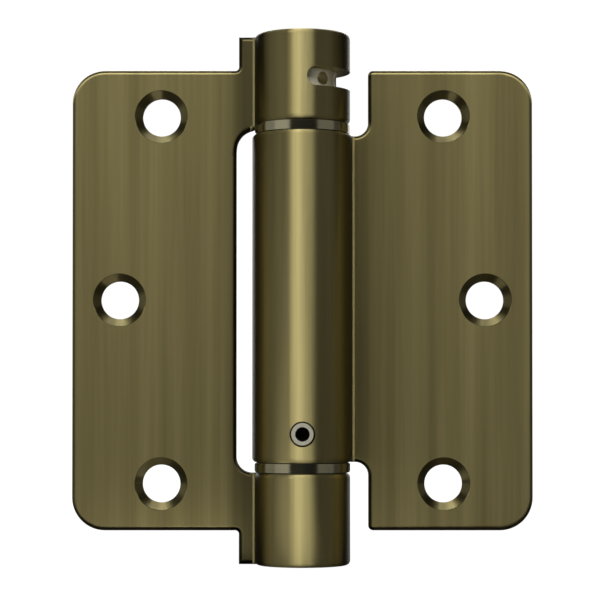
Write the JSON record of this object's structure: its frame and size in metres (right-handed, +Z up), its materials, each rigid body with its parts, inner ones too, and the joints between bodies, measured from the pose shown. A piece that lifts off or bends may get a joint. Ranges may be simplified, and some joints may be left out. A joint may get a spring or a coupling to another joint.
{
  "type": "adjustable spring hinge",
  "caption": "Full mortise spring hinge with square leaves of rounded corners, a long spring barrel between knuckles, thrust rings and a tension collar in a slotted knuckle.",
  "frame": {"origin": "on the barrel's axis, half way up the hinge", "axes": "+Z up along the barrel towards the tension collar, +X towards the door leaf lying open flat, -Y out of the countersunk faces"},
  "size_m": [0.0888, 0.0194, 0.1018],
  "materials": {
    "leaf_finish": "steel plated and brushed to an antique brass tone",
    "ring_finish": "turned steel, plated antique brass",
    "bright_zinc": "bright zinc plated steel",
    "plain_steel": "turned plain steel",
    "spring_steel": "oil tempered spring steel",
    "bearing_nylon": "moulded nylon"
  },
  "bodies": {
    "frame_side": {"frame_leaf": "leaf_finish", "top_cap": "leaf_finish", "bottom_cap": "leaf_finish", "upper_ring": "ring_finish", "lower_ring": "ring_finish", "pivot_plug": "plain_steel", "pivot_pin": "plain_steel"},
    "door_side": {"door_leaf": "leaf_finish", "upper_bushing": "bearing_nylon", "upper_spring_seat": "plain_steel", "torsion_spring": "spring_steel", "lower_spring_seat": "plain_steel", "spring_anchor": "bright_zinc", "lower_bushing": "bearing_nylon", "set_screw": "bright_zinc"},
    "adjuster": {"tension_collar": "bright_zinc", "spindle": "plain_steel", "collar_pin": "spring_steel", "collar_washer": "bearing_nylon"}
  },
  "joints": [
    {"name": "leaf_swing", "type": "hinge", "parent": "frame_side", "child": "door_side", "pos_m": [0, 0, 0], "axis": [0, 0, -1], "range_deg": [0, 180], "deforming": ["torsion_spring"]},
    {"name": "collar_turn", "type": "hinge", "parent": "frame_side", "child": "adjuster", "pos_m": [0, 0, 0.04195], "axis": [0, 0, -1], "range_deg": [0, 180], "deforming": ["torsion_spring"]}
  ]
}
